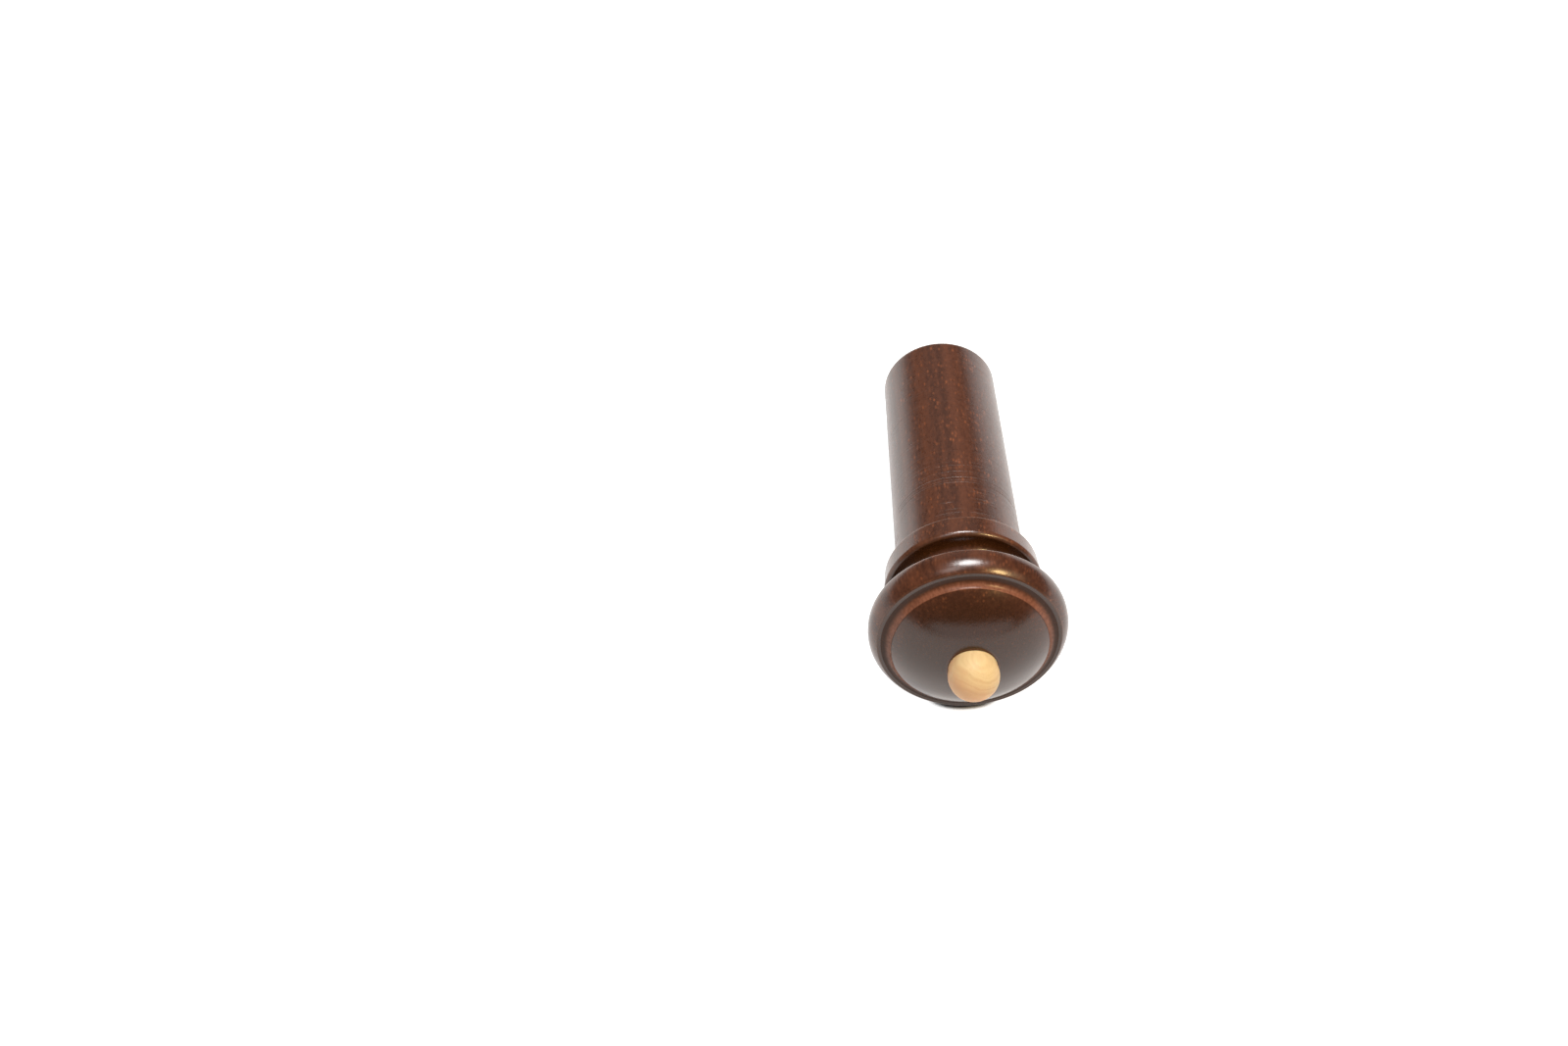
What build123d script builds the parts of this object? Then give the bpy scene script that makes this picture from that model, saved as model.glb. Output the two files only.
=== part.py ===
import os
from math import cos, radians, sin

from build123d import *

# Violin end button: a one-piece rosewood turning and a boxwood pin glued into its face.
# The turning axis is Y. The shaft points to +Y, the domed face looks to -Y, and +Z is up.
# The origin is the centre of the collar's back face, which seats on the instrument's ribs.

# Shaft, which wedges in a reamed hole
shaft_length = 20.3
shaft_root_radius = 4.28
taper_ratio = 30.0  # the diameter loses 1 mm in every 30 mm
shaft_end_rounding = 0.7

# Collar, the flange that stops against the ribs
collar_back_radius = 5.1
collar_lip_radius = 5.24
collar_thickness = 1.82
collar_lip_height = 0.3  # where the lip's rounding starts and ends, along and across the axis
collar_lip_depth = 0.25
collar_lip_rounding = 0.46

# Groove for the tailgut, between the collar and the head
groove_width = 2.76
groove_collar_share = 0.46  # how much of the width belongs to the collar's side
neck_radius = 3.9

# Head: a half-round bead, a small cove inside it, and a dome
head_radius = 6.5
bead_radius = 1.7
bead_back_angle = 18.0  # where the bead starts and ends, counted from its widest circle
bead_front_angle = 47.0
cove_radius = 0.75
dome_edge_radius = 5.14
dome_edge_rise = 0.46  # the dome's edge in front of the bead's front edge
dome_height = 2.15

# Pin: a straight dowel with a half-round end
pin_radius = 1.66
pin_stand_out = 2.16  # from the top of the dome to the tip
pin_bore_depth = 5.0
pin_tail_gap = 0.3  # room for glue at the bottom of the bore
pin_tail_chamfer = 0.3

# Places along the turning axis, worked out from the back of the collar forwards
shaft_end_radius = shaft_root_radius - shaft_length / (2 * taper_ratio)
lip_y = -collar_thickness
lip_top_y = lip_y + collar_lip_height
lip_inner_radius = collar_lip_radius - collar_lip_depth
neck_y = lip_y - groove_width * groove_collar_share
head_back_y = lip_y - groove_width
bead_centre_y = head_back_y - bead_radius * sin(radians(bead_back_angle))
bead_centre_radius = head_radius - bead_radius
head_back_radius = bead_centre_radius + bead_radius * cos(radians(bead_back_angle))
bead_front_radius = bead_centre_radius + bead_radius * cos(radians(bead_front_angle))
bead_front_y = bead_centre_y - bead_radius * sin(radians(bead_front_angle))
dome_edge_y = bead_front_y - dome_edge_rise
dome_top_y = dome_edge_y - dome_height
dome_radius = (dome_edge_radius**2 + dome_height**2) / (2 * dome_height)

# Button body: half of its section, drawn with the radius along X, then turned about Y
with BuildPart() as button_body:
    with BuildSketch(Plane.XY):
        with BuildLine():
            # shaft's end, its taper, and the flat back and slightly flared rim of the collar
            Polyline(
                (0, shaft_length),
                (shaft_end_radius, shaft_length),
                (shaft_root_radius, 0),
                (collar_back_radius, 0),
                (collar_lip_radius, lip_top_y),
            )
            # the collar's eased lip, then its side of the groove, a quarter of an oval to the neck
            RadiusArc((collar_lip_radius, lip_top_y), (lip_inner_radius, lip_y), collar_lip_rounding)
            EllipticalCenterArc(
                (lip_inner_radius, neck_y),
                lip_inner_radius - neck_radius,
                lip_y - neck_y,
                start_angle=90,
                arc_size=90,
            )
            # the head's side of the groove, deeper, a quarter of an oval ending square to the axis
            EllipticalCenterArc(
                (head_back_radius, neck_y),
                head_back_radius - neck_radius,
                neck_y - head_back_y,
                start_angle=180,
                arc_size=90,
            )
            # the bead, from its sharp back edge round to its crisp front edge
            CenterArc(
                (bead_centre_radius, bead_centre_y),
                bead_radius,
                start_angle=-bead_front_angle,
                arc_size=bead_front_angle + bead_back_angle,
            )
            # the cove, hollowed between the bead and the dome, then the dome
            RadiusArc((bead_front_radius, bead_front_y), (dome_edge_radius, dome_edge_y), -cove_radius)
            RadiusArc((dome_edge_radius, dome_edge_y), (0, dome_top_y), dome_radius)
            Line((0, dome_top_y), (0, shaft_length))
        make_face()
    revolve(axis=Axis.Y)

    # the shaft's end is eased so that it starts in the reamed hole
    fillet(button_body.edges().filter_by(GeomType.CIRCLE).sort_by(Axis.Y)[-1], shaft_end_rounding)

    # blind bore for the pin, drilled from the top of the dome
    with Locations(Plane(origin=(0, dome_top_y, 0), x_dir=(1, 0, 0), z_dir=(0, -1, 0))):
        Hole(pin_radius, depth=pin_bore_depth)
button_body.part.label = "button_body"

# Pin: half of its section, turned about Y like the body
pin_tail_y = dome_top_y + pin_bore_depth - pin_tail_gap
pin_tip_y = dome_top_y - pin_stand_out
pin_round_y = pin_tip_y + pin_radius
with BuildPart() as pin:
    with BuildSketch(Plane.XY):
        with BuildLine():
            Polyline(
                (0, pin_tip_y),
                (0, pin_tail_y),
                (pin_radius, pin_tail_y),
                (pin_radius, pin_round_y),
            )
            CenterArc((0, pin_round_y), pin_radius, start_angle=270, arc_size=90)
        make_face()
    revolve(axis=Axis.Y)
    chamfer(pin.edges().filter_by(GeomType.CIRCLE).sort_by(Axis.Y)[-1], pin_tail_chamfer)
pin.part.label = "pin"

os.makedirs("parts", exist_ok=True)
export_step(button_body.part, "parts/button_body.step")
export_step(pin.part, "parts/pin.step")
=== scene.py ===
import math

import bpy
import numpy as np
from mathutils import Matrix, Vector


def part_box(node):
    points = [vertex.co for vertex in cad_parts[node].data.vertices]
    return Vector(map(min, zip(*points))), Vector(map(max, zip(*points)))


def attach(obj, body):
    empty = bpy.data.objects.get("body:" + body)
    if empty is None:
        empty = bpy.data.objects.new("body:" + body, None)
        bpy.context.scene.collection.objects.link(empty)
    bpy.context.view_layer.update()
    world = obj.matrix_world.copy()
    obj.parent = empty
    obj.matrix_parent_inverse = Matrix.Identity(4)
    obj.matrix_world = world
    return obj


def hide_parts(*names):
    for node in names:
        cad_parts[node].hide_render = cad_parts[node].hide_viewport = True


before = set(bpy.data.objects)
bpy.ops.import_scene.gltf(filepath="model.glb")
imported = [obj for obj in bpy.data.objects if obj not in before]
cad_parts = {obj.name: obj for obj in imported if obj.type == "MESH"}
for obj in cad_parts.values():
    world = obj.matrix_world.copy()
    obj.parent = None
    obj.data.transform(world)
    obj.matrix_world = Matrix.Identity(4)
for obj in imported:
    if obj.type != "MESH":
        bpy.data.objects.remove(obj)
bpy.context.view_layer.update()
print("frame loaded")

mm = 0.001


# profiles are rows of (radius, place along Y) in mm, and every piece is one of them carried round Y


def ovalArc(centre, halfAxes, start, end, count):
    # centre + (halfAxis cos angle, halfAxis sin angle), the angle running from start to end
    angle = np.radians(np.linspace(start, end, count))
    return np.stack([centre[0] + halfAxes[0] * np.cos(angle), centre[1] + halfAxes[1] * np.sin(angle)], 1)


def straight(start, end, count):
    # start + t (end - start)
    t = np.linspace(0, 1, count)[:, None]
    return np.array(start) + t * (np.array(end) - np.array(start))


def bulge(start, end, radius, count):
    # the circle of that radius through both ends, bulging to the right of the way to end if radius > 0
    chord = np.subtract(end, start)
    reach = np.hypot(*chord)
    side = np.array([chord[1], -chord[0]]) / reach
    drop = math.sqrt(radius**2 - reach**2 / 4)
    centre = np.add(start, end) / 2 - math.copysign(drop, radius) * side
    first, last = (math.atan2(p[1] - centre[1], p[0] - centre[0]) for p in (start, end))
    sweep = (last - first + math.pi) % (2 * math.pi) - math.pi
    angle = first + np.linspace(0, sweep, count)
    return np.stack([centre[0] + abs(radius) * np.cos(angle), centre[1] + abs(radius) * np.sin(angle)], 1)


def cutEnds(stretch, before, after):
    # the same stretch with a length cut from each end, by distance along it
    steps = np.hypot(*np.diff(stretch, axis=0).T)
    distance = np.concatenate([[0], np.cumsum(steps)])
    low = before
    high = distance[-1] - after
    inside = stretch[(distance > low + 1e-6) & (distance < high - 1e-6)]
    ends = [[np.interp(d, distance, stretch[:, k]) for k in (0, 1)] for d in (low, high)]
    return np.vstack([ends[0], inside, ends[1]])


def joinStretches(stretches, easing):
    # stretches end to end, each corner replaced by (1-t)^2 a + 2t(1-t) corner + t^2 b over its easing
    easing = [0, *easing, 0]
    t = np.linspace(0, 1, 6)[1:-1, None]
    parts = []
    for k, stretch in enumerate(stretches):
        cut = cutEnds(stretch, easing[k], easing[k + 1])
        if k and easing[k]:
            corner = stretch[0]
            parts.append((1 - t) ** 2 * parts[-1][-1] + 2 * t * (1 - t) * corner + t**2 * cut[0])
        parts.append(cut if not k or easing[k] else cut[1:])
    return np.vstack(parts)


def profileTraits(profile, reach):
    # outward normal = the tangent turned a quarter; edge = how fast the normal turns per mm over the reach,
    # above 0 on a convex edge and below 0 in a hollow
    radius, along = profile.T
    distance = np.concatenate([[0], np.cumsum(np.hypot(np.diff(radius), np.diff(along)))])
    tangent = np.stack([np.gradient(radius, distance), np.gradient(along, distance)], 1)
    tangent /= np.hypot(*tangent.T)[:, None]
    heading = np.unwrap(np.arctan2(tangent[:, 1], tangent[:, 0]))
    turn = np.interp(distance + reach, distance, heading) - np.interp(distance - reach, distance, heading)
    return {"endGrain": tangent[:, 0] ** 2, "edge": turn / (2 * reach)}


def turnedPiece(name, profile, turns, traits):
    # a profile point goes round Y: x = radius sin u, z = radius cos u; both ends lie on the axis as poles
    radius, along = profile[1:-1].T
    u = np.linspace(0, 2 * math.pi, turns, endpoint=False)
    rings = np.stack(
        [np.outer(radius, np.sin(u)), np.repeat(along[:, None], turns, 1), np.outer(radius, np.cos(u))], 2
    ).reshape(-1, 3)
    poles = np.array([[0, profile[0, 1], 0], [0, profile[-1, 1], 0]])
    ring, step = np.meshgrid(np.arange(len(radius) - 1), np.arange(turns), indexing="ij")
    after = (step + 1) % turns
    quads = np.stack(
        [ring * turns + step, ring * turns + after, (ring + 1) * turns + after, (ring + 1) * turns + step], 2
    ).reshape(-1, 4)
    spoke = np.arange(turns)
    nextSpoke = (spoke + 1) % turns
    lastRing = (len(radius) - 1) * turns
    firstFan = np.stack([np.full(turns, len(rings)), nextSpoke, spoke], 1)
    lastFan = np.stack([np.full(turns, len(rings) + 1), lastRing + spoke, lastRing + nextSpoke], 1)
    mesh = bpy.data.meshes.new(name)
    points = np.vstack([rings, poles]) * mm
    mesh.from_pydata(points.tolist(), [], quads.tolist() + firstFan.tolist() + lastFan.tolist())
    mesh.polygons.foreach_set("use_smooth", np.ones(len(mesh.polygons), bool))
    for label, values in traits.items():
        spread = np.concatenate([np.repeat(values[1:-1], turns), values[[0, -1]]])
        mesh.attributes.new(label, "FLOAT", "POINT").data.foreach_set("value", spread.astype(np.float32))
    piece = bpy.data.objects.new(name, mesh)
    bpy.context.scene.collection.objects.link(piece)
    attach(piece, "root")
    return piece


class Sock:
    # a shader socket that can stand in ordinary sums; each operator adds its Math node
    def __init__(self, graph, socket):
        self.graph = graph
        self.socket = socket

    def out(self, name):
        return Sock(self.graph, self.socket.node.outputs[name])

    def math(self, operation, *others):
        return self.graph.node("ShaderNodeMath", {"operation": operation}, dict(enumerate((self, *others))))

    def __add__(self, other):
        return self.math("ADD", other)

    def __sub__(self, other):
        return self.math("SUBTRACT", other)

    def __mul__(self, other):
        return self.math("MULTIPLY", other)

    def __radd__(self, other):
        return self.math("ADD", other)

    def __rmul__(self, other):
        return self.math("MULTIPLY", other)

    def __rsub__(self, other):
        return self.graph.node("ShaderNodeMath", {"operation": "SUBTRACT"}, {0: other, 1: self})

    def ramp(self, low, high):
        # 0 at low, 1 at high, smooth between
        return self.graph.node(
            "ShaderNodeMapRange",
            {"interpolation_type": "SMOOTHSTEP"},
            {"Value": self, "From Min": low, "From Max": high},
        )


class Graph:
    def __init__(self, name):
        self.material = bpy.data.materials.new(name)
        self.material.use_nodes = True
        self.tree = self.material.node_tree
        self.tree.nodes.clear()

    def node(self, kind, settings=None, values=None):
        made = self.tree.nodes.new(kind)
        for key, value in (settings or {}).items():
            setattr(made, key, value)
        for key, value in (values or {}).items():
            if isinstance(value, Sock):
                self.tree.links.new(value.socket, made.inputs[key])
            else:
                made.inputs[key].default_value = value
        return Sock(self, made.outputs[0]) if made.outputs else made

    def place(self):
        # where a point is in the piece, in millimetres
        here = self.node("ShaderNodeTexCoord").out("Object")
        return self.stretch(here, (1000, 1000, 1000))

    def stretch(self, vector, factors):
        return self.node("ShaderNodeVectorMath", {"operation": "MULTIPLY"}, {0: vector, 1: factors})

    def shift(self, vector, offset):
        return self.node("ShaderNodeVectorMath", {"operation": "ADD"}, {0: vector, 1: offset})

    def reach(self, vector):
        return self.node("ShaderNodeVectorMath", {"operation": "LENGTH"}, {0: vector}).out("Value")

    def noise(self, vector, scale, detail=2.0, rough=0.5):
        return self.node(
            "ShaderNodeTexNoise", {}, {"Vector": vector, "Scale": scale, "Detail": detail, "Roughness": rough}
        )

    def noiseLine(self, value, scale, detail=2.0):
        # noise that depends on one number only
        return self.node(
            "ShaderNodeTexNoise", {"noise_dimensions": "1D"}, {"W": value, "Scale": scale, "Detail": detail}
        )

    def flecks(self, vector, size, share):
        # a spot in the middle of some of the cells of a Voronoi pattern, each as strong as its cell's number
        cells = self.node("ShaderNodeTexVoronoi", {}, {"Vector": vector, "Scale": 1.0})
        number = self.node("ShaderNodeSeparateColor", {}, {0: cells.out("Color")})
        return (1 - cells.ramp(size * 0.35, size)) * number.ramp(1 - share, 1.0)

    def mix(self, factor, first, second):
        mixed = self.node("ShaderNodeMix", {"data_type": "RGBA"}, {0: factor, 6: first, 7: second})
        return Sock(self, mixed.socket.node.outputs[2])

    def attribute(self, name):
        return self.node("ShaderNodeAttribute", {"attribute_name": name}).out("Fac")

    def bump(self, height, distance, strength):
        return self.node("ShaderNodeBump", {}, {"Height": height, "Distance": distance, "Strength": strength})

    def finish(self, values, dull=None):
        shader = self.node("ShaderNodeBsdfPrincipled", {}, values)
        if dull:
            mattValues = {"Base Color": values["Base Color"], "Roughness": 0.9, "Specular IOR Level": 0.1}
            matt = self.node("ShaderNodeBsdfPrincipled", {}, mattValues)
            shader = self.node("ShaderNodeMixShader", {}, {0: dull, 1: shader, 2: matt})
        self.node("ShaderNodeOutputMaterial", {}, {"Surface": shader})
        return self.material


# the button body: one turning, drawn from the floor of the bore round to the shaft's end
button = {
    "shaftRoot": 4.28,
    "taper": 30,  # the diameter loses 1 mm in 30
    "shaftEndRounding": 0.7,
    "collarBack": 5.1,
    "collarLip": 5.24,
    "collarThickness": 1.82,
    "lipHeight": 0.3,
    "lipDepth": 0.25,
    "lipRounding": 0.46,
    "grooveWidth": 2.76,
    "grooveCollarShare": 0.46,
    "neck": 3.9,
    "beadRadius": 1.7,
    "beadBack": 18,  # degrees from the bead's widest circle
    "beadFront": 47,
    "coveRadius": 0.75,
    "domeEdge": 5.14,
    "domeEdgeRise": 0.46,
    "domeHeight": 2.15,
    "pinRoot": 1.58,  # radius of the pin where it enters the dome
    "boreDepth": 5.0,
    "glueLine": 0.02,
    "easing": [0.05, 0.03, 0.02, 0.05, 0.09, 0, 0.05, 0.05, 0.1, 0.05, 0, 0],  # one for each corner, in order
    "turns": 360,
}

bodyHigh = np.array(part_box("button_body")[1]) / mm
pinLow, pinHigh = (np.array(corner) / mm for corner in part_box("pin"))
shaftLength = bodyHigh[1]
headRadius = bodyHigh[0]
pinTip = pinLow[1]
pinRadius = pinHigh[0]


def bodyProfile(b):
    shaftEnd = b["shaftRoot"] - shaftLength / (2 * b["taper"])
    lipY = -b["collarThickness"]
    lipTopY = lipY + b["lipHeight"]
    lipInner = b["collarLip"] - b["lipDepth"]
    neckY = lipY - b["grooveWidth"] * b["grooveCollarShare"]
    headBackY = lipY - b["grooveWidth"]
    back = math.radians(b["beadBack"])
    front = math.radians(b["beadFront"])
    beadY = headBackY - b["beadRadius"] * math.sin(back)
    beadCentre = headRadius - b["beadRadius"]
    headBack = beadCentre + b["beadRadius"] * math.cos(back)
    beadEdge = (beadCentre + b["beadRadius"] * math.cos(front), beadY - b["beadRadius"] * math.sin(front))
    domeEdge = (b["domeEdge"], beadEdge[1] - b["domeEdgeRise"])
    domeTopY = domeEdge[1] - b["domeHeight"]
    domeRadius = (b["domeEdge"] ** 2 + b["domeHeight"] ** 2) / (2 * b["domeHeight"])
    bore = b["pinRoot"] + b["glueLine"]
    boreMouth = (bore, domeTopY + domeRadius - math.sqrt(domeRadius**2 - bore**2))
    boreFloorY = domeTopY + b["boreDepth"]
    rounding = b["shaftEndRounding"]
    lean = shaftEnd + rounding / (2 * b["taper"])
    stretches = [
        straight((0, boreFloorY), (bore, boreFloorY), 4),
        straight((bore, boreFloorY), boreMouth, 6),
        bulge(boreMouth, domeEdge, domeRadius, 44),
        bulge(domeEdge, beadEdge, -b["coveRadius"], 20),
        ovalArc((beadCentre, beadY), (b["beadRadius"], b["beadRadius"]), -b["beadFront"], b["beadBack"], 44),
        ovalArc((headBack, neckY), (headBack - b["neck"], neckY - headBackY), 270, 180, 26),
        ovalArc((lipInner, neckY), (lipInner - b["neck"], lipY - neckY), 180, 90, 22),
        bulge((lipInner, lipY), (b["collarLip"], lipTopY), b["lipRounding"], 10),
        straight((b["collarLip"], lipTopY), (b["collarBack"], 0), 8),
        straight((b["collarBack"], 0), (b["shaftRoot"], 0), 5),
        straight((b["shaftRoot"], 0), (lean, shaftLength - rounding), 24),
        ovalArc((lean - rounding, shaftLength - rounding), (rounding, rounding), 0, 90, 14),
        straight((lean - rounding, shaftLength), (0, shaftLength), 5),
    ]
    profile = joinStretches(stretches, b["easing"])
    traits = profileTraits(profile, 0.16)
    # the cove's inner wall: 0 at the bead's front edge, 1 at the dome's edge, and 0 again on the dome and the bead
    inward = (beadEdge[0] - profile[:, 0]) / (beadEdge[0] - domeEdge[0])
    inCove = (inward > 0) & (inward < 1.02) & (profile[:, 1] > domeEdge[1] - 0.02) & (profile[:, 1] < beadEdge[1])
    traits["coveWall"] = inward * inCove
    return profile, traits, domeTopY


def rosewood(name, look):
    g = Graph(name)
    place = g.place()
    split = g.node("ShaderNodeSeparateXYZ", {}, {0: place})
    along = split.out("Y")
    cut = g.attribute("endGrain").ramp(0.3, 0.75)  # 1 where the fibres are cut across
    sawn = cut * along.ramp(10.0, 18.0)
    face = cut - sawn
    # growth layers: distance from the tree's middle, off to one side, with a slow wander along the wood
    wander = g.noise(g.stretch(place, (0.16, 0.03, 0.16)), 1.0, 2.0) * look["wander"]
    layer = g.reach(g.stretch(g.shift(place, look["heart"]), (1, 0, 1))) + wander
    broad = g.noiseLine(layer, look["layers"], 3.0).ramp(0.36, 0.66)
    fine = g.noiseLine(layer, look["layers"] * 5.0, 2.0).ramp(0.3, 0.75)
    # fibres drawn out along the shaft, and a finer mottle
    fibre = g.noise(g.stretch(place, (6.0, 0.7, 6.0)), 1.0, 4.0, 0.65).ramp(0.28, 0.72)
    mottle = g.noise(g.stretch(place, (5.0, 2.6, 5.0)), 1.0, 3.0, 0.7).ramp(0.3, 0.7)
    figure = broad * 0.5 + fine * 0.15 + fibre * 0.2
    tone = figure * (1 - face) + mottle * (0.35 + face * 0.3)
    colour = g.mix(tone.ramp(0.1, 1.05), look["dark"], look["light"])
    # pores: long cells on the sides, round ones where they are cut across
    pores = g.flecks(g.stretch(place, (3.4, 1.1, 3.4)), 0.3, look["poreShare"]) * (along.ramp(-3.0, 1.0) * 0.6 + 0.4)
    dust = g.flecks(g.stretch(place, (5.2, 2.3, 5.2)), 0.55, look["poreShare"])
    patches = g.noise(place, 0.7, 2.0).ramp(0.35, 0.65)
    colour = g.mix(pores * look["poreStrength"], colour, look["pore"])
    colour = g.mix(dust * patches * look["dustStrength"], colour, look["pore"])
    # the ends of the fibres drink more oil and are darker
    colour = g.mix(face * look["endDark"], colour, look["oilDarkAndShade"])
    # hollows are darkened with painted shade, the cove's inner wall gets a lighter, redder colour that is partly its
    # unpolished wood and partly painted light, and edges are rubbed lighter
    edge = g.attribute("edge")
    coveWall = g.attribute("coveWall")
    # painted shade: concave places are mixed towards the dark oil colour
    colour = g.mix((0 - edge).ramp(0.9, 1.6) * look["hollowShade"], colour, look["oilDarkAndShade"])
    # partly painted light: the wall near the dome's edge is mixed towards a lighter orange that stands in for the
    # overhead light it catches, over a redder, unpolished wood tone
    colour = g.mix(coveWall.ramp(0.5, 0.9) * (fibre * 0.6 + 0.4) * look["coveRedAndLitShare"], colour, look["coveRedAndLit"])
    colour = g.mix(edge.ramp(0.9, 4.0) * look["edgeWear"], colour, look["worn"])
    # turning marks: thin rings that come and go round the wood, strongest by the collar
    lines = g.noiseLine(along, 5.5, 3.0).ramp(0.56, 0.72)
    marks = lines * g.noise(place, 0.26, 2.0).ramp(0.4, 0.58)
    scratch = marks * (1 - along.ramp(2.0, 8.0) * 0.85) * along.ramp(-0.2, 0.2)
    colour = g.mix(scratch * 0.3, colour, look["scratch"])
    normal = g.bump(scratch + fibre * look["grainHeight"], 0.00002, look["bump"])
    # the shaft is left rougher than the head, its sawn end most of all, and the dome is the smoothest
    polish = look["rough"] + along.ramp(-0.5, 1.0) * look["shaftRougher"] + sawn * look["sawnRougher"]
    polish = polish - face * look["domeSmoother"]
    rough = polish + mottle * 0.05 + scratch * look["scratchRough"]
    # the cove is too tight to polish, so it stays nearly matt
    dull = coveWall.ramp(0.0, 0.08) * look["coveMatt"]
    return g.finish({"Base Color": colour, "Roughness": rough, "IOR": 1.5, "Normal": normal}, dull)


rosewoodLook = {
    "heart": (13.0, 0.0, 9.0),
    "wander": 1.6,
    "layers": 0.55,
    "dark": (0.038, 0.0118, 0.0052, 1),
    "light": (0.084, 0.0275, 0.0125, 1),
    "pore": (0.24, 0.075, 0.028, 1),
    "poreShare": 0.6,
    "poreStrength": 0.42,
    "dustStrength": 0.5,
    "oilDarkAndShade": (0.024, 0.0075, 0.0012, 1),
    "endDark": 0.75,
    "hollowShade": 0.25,
    "coveRedAndLit": (0.19, 0.072, 0.04, 1),
    "coveRedAndLitShare": 0.9,
    "coveMatt": 0.65,
    "worn": (0.2, 0.09, 0.05, 1),
    "edgeWear": 0.15,
    "scratch": (0.03, 0.013, 0.009, 1),
    "bump": 0.9,
    "scratchRough": 0.35,
    "grainHeight": 0.11,
    "rough": 0.22,
    "shaftRougher": 0.05,
    "sawnRougher": 0.3,
    "domeSmoother": 0.07,
}

profile, traits, domeTopY = bodyProfile(button)
body = turnedPiece("turned_body", profile, button["turns"], traits)
body.data.materials.append(rosewood("rosewood", rosewoodLook))
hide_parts("button_body")
print("button body turned")


# the pin, a dowel with a ball at the tip that narrows to its root, and a small bevel round the tail
pin = {"tailGap": 0.3, "tailChamfer": 0.3, "turns": 160}


def pinProfile(p):
    tailY = domeTopY + button["boreDepth"] - p["tailGap"]
    roundY = pinTip + pinRadius
    bevel = p["tailChamfer"]
    root = button["pinRoot"]
    past = math.degrees(math.acos(root / pinRadius))
    ballEndY = roundY + math.sqrt(pinRadius**2 - root**2)
    stretches = [
        ovalArc((0, roundY), (pinRadius, pinRadius), -90, past, 84),
        straight((root, ballEndY), (root, tailY - bevel), 20),
        straight((root, tailY - bevel), (root - bevel, tailY), 4),
        straight((root - bevel, tailY), (0, tailY), 4),
    ]
    return joinStretches(stretches, [0.1, 0.03, 0.03])


def boxwood(name, look):
    g = Graph(name)
    place = g.place()
    wander = g.noise(g.stretch(place, (0.5, 0.1, 0.5)), 1.0, 2.0) * 1.2
    layer = g.reach(g.stretch(g.shift(place, look["heart"]), (1, 0, 1))) + wander
    rings = g.noiseLine(layer, 2.2, 2.0).ramp(0.3, 0.72)
    fibre = g.noise(g.stretch(place, (12, 1.5, 12)), 1.0, 3.0, 0.6).ramp(0.3, 0.7)
    # painted shade: a darker, browner side towards the lower left, broken up by noise
    leaning = g.node("ShaderNodeVectorMath", {"operation": "DOT_PRODUCT"}, {0: place, 1: look["shadeSide"]}).out("Value")
    sideShade = (leaning + g.noise(place, 0.8, 2.0) * 1.4 - 0.7).ramp(-0.2, 1.6)
    colour = g.mix(rings * 0.6 + fibre * 0.2, look["light"], look["dark"])
    colour = g.mix(sideShade * 0.9, colour, look["sideShade"])
    normal = g.bump(fibre, 0.00001, 0.12)
    rough = look["rough"] + fibre * 0.08
    values = {"Base Color": colour, "Roughness": rough, "Normal": normal}
    return g.finish(values | {"IOR": 1.4, "Subsurface Weight": 0.1, "Subsurface Scale": 0.0005})


boxwoodLook = {
    "heart": (1.5, 0.0, 7.0),
    "light": (0.57, 0.43, 0.225, 1),
    "dark": (0.44, 0.29, 0.135, 1),
    # the painted shade's colour and the side it lies on
    "sideShade": (0.5, 0.27, 0.13, 1),
    "shadeSide": (-0.45, -0.1, -0.8),
    "rough": 0.5,
}

dowel = turnedPiece("round_end_pin", pinProfile(pin), pin["turns"], {})
dowel.data.materials.append(boxwood("boxwood", boxwoodLook))
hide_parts("pin")
print("pin turned")


# the floor: the button lies on its head's rim and the end of its shaft, so the floor leans a little
floorLook = {"reach": 3.0, "albedo": (0.3, 0.3, 0.3, 1), "glow": 1.2, "near": 0.006, "contact": 0.0006}


def restingLine(outline):
    # the line that touches the head and the shaft's end from outside, found by turning it until both touch
    head = outline[outline[:, 1] < 0]
    tail = outline[outline[:, 1] > shaftLength / 2]
    slope = 0.0
    for turn in range(4):
        front = head[(head[:, 0] - slope * head[:, 1]).argmax()]
        rear = tail[(tail[:, 0] - slope * tail[:, 1]).argmax()]
        slope = (rear[0] - front[0]) / (rear[1] - front[1])
    return front, slope


touch, slope = restingLine(profile)
reach = floorLook["reach"]
corners = [
    (x, y, -touch[0] * mm - slope * (y - touch[1] * mm) - 0.00001)
    for x, y in ((-reach, -reach), (reach, -reach), (reach, reach), (-reach, reach))
]
floorMesh = bpy.data.meshes.new("floor")
floorMesh.from_pydata(corners, [], [(0, 1, 2, 3)])
floor = bpy.data.objects.new("floor", floorMesh)
bpy.context.scene.collection.objects.link(floor)
g = Graph("paleFloor")
matt = g.node("ShaderNodeBsdfDiffuse", {}, {"Color": floorLook["albedo"]})
# painted shadow: the glow is dimmed by ambient occlusion round the button and dies out close under it, where no
# light gets in
near = g.node("ShaderNodeAmbientOcclusion", {"samples": 16}, {"Distance": floorLook["near"]}).out("AO")
contact = g.node("ShaderNodeAmbientOcclusion", {"samples": 16}, {"Distance": floorLook["contact"]}).out("AO")
openness = (0.84 + near.ramp(0.3, 1.0) * 0.16) * contact.ramp(0.42, 0.66)
glow = g.node("ShaderNodeEmission", {}, {"Strength": openness * floorLook["glow"]})
both = g.node("ShaderNodeAddShader", {}, {0: matt, 1: glow})
g.node("ShaderNodeOutputMaterial", {}, {"Surface": both})
floorMesh.materials.append(g.material)
print("floor laid")


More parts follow.
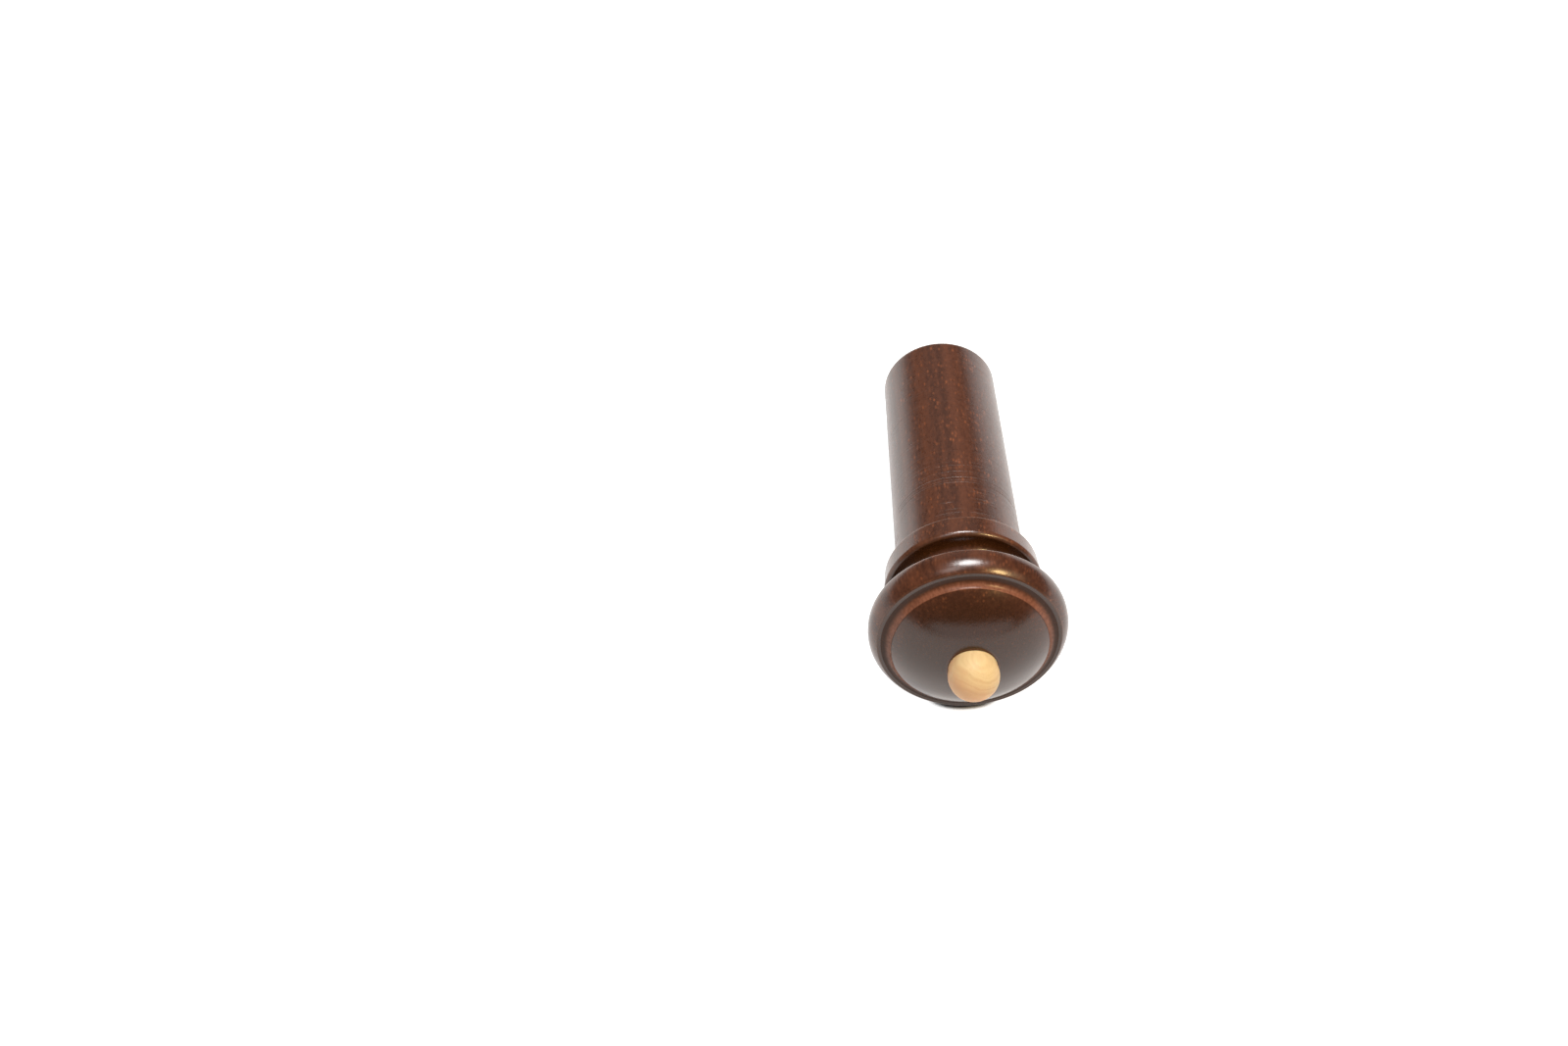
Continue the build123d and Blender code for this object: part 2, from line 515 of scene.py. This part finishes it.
def direction(azimuth, elevation):
    # azimuth 0 looks along +Y and grows towards +X
    a = math.radians(azimuth)
    e = math.radians(elevation)
    return Vector((math.sin(a) * math.cos(e), math.cos(a) * math.cos(e), math.sin(e)))


def softLight(name, azimuth, elevation, distance, size, radiance, colour=(1, 1, 1)):
    # a round area light; its watts follow from the wanted brightness of its face
    data = bpy.data.lights.new(name, "AREA")
    data.shape = "ELLIPSE"
    data.size, data.size_y = size
    data.energy = radiance * math.pi * math.pi / 4 * size[0] * size[1]
    data.color = colour
    lamp = bpy.data.objects.new(name, data)
    toLamp = direction(azimuth, elevation)
    lamp.location = toLamp * distance
    lamp.rotation_euler = toLamp.to_track_quat("Z", "Y").to_euler()
    bpy.context.scene.collection.objects.link(lamp)


softLight("overheadLight", 0, 88, 0.9, (0.32, 0.32), 40)
softLight("warmLamp", 134, 47, 0.7, (0.11, 0.11), 85, (1, 0.68, 0.3))
softLight("warmSpread", 118, 40, 0.7, (0.3, 0.3), 1.6, (1, 0.75, 0.5))
softLight("leftSpread", -139, 64, 0.8, (0.24, 0.24), 5)
softLight("backCard", -5, 36, 0.9, (0.7, 0.5), 0.2)
softLight("rightCard", 34, 9, 0.8, (0.32, 0.24), 1.2)
softLight("frontCard", 177, 2, 0.6, (1.1, 0.17), 1.1)

world = bpy.data.worlds.new("room")
world.use_nodes = True
world.node_tree.nodes["Background"].inputs["Color"].default_value = (0.13, 0.127, 0.123, 1)
bpy.context.scene.world = world

view = {"aim": (-0.01178, -0.00031, 0.00508), "distance": 0.1521, "azimuth": 1.53, "elevation": 41.97, "lens": 54}
cameraData = bpy.data.cameras.new("camera")
cameraData.lens = view["lens"]
cameraData.sensor_width = 36
cameraData.clip_start = 0.001
camera = bpy.data.objects.new("camera", cameraData)
away = -direction(view["azimuth"], -view["elevation"])
camera.location = Vector(view["aim"]) + away * view["distance"]
camera.rotation_euler = away.to_track_quat("Z", "Y").to_euler()
bpy.context.scene.collection.objects.link(camera)
bpy.context.scene.camera = camera
bpy.context.scene.view_settings.view_transform = "Standard"
print("lights and camera set")
